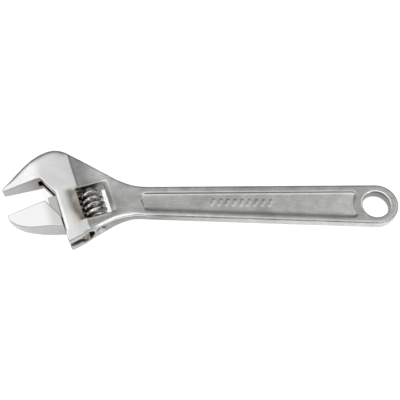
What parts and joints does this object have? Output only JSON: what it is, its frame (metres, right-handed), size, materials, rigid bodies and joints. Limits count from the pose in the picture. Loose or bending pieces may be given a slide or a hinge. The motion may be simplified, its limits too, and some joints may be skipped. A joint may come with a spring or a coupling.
{
  "type": "adjustable wrench",
  "caption": "Adjustable wrench with a sliding lower jaw moved by a thumb worm, and a panelled handle with a hanging hole.",
  "frame": {"origin": "centre of the hanging hole, on the wrench's mid-plane", "axes": "+X towards the handle's end, the head at -X; +Z along the hanging hole, out of the marked face; +Y towards the fixed jaw's side"},
  "size_m": [0.2, 0.0513, 0.0128],
  "materials": {
    "plated_forging": "satin plated forging",
    "ground_jaw": "ground and plated",
    "worm_steel": "turned and plated",
    "pin_steel": "turned",
    "spring_steel": "drawn wire"
  },
  "bodies": {
    "wrench": {"wrench_body": "plated_forging", "worm_pin": "pin_steel", "worm_spring": "spring_steel"},
    "jaw": {"movable_jaw": "ground_jaw"},
    "worm": {"worm_screw": "worm_steel"}
  },
  "joints": [
    {"name": "jaw_slide", "type": "slide", "parent": "wrench", "child": "jaw", "axis": [0.342, -0.9397, 0], "range_m": [-0.0131, 0.0108]},
    {"name": "worm_spin", "type": "hinge", "parent": "wrench", "child": "worm", "pos_m": [-0.14172, -0.00198, 0], "axis": [0.342, -0.9397, 0], "range_deg": [-1190, 1440]}
  ],
  "couplings": [
    {"joint": "worm_spin", "follows": "jaw_slide", "rad_per_m": -1904}
  ]
}
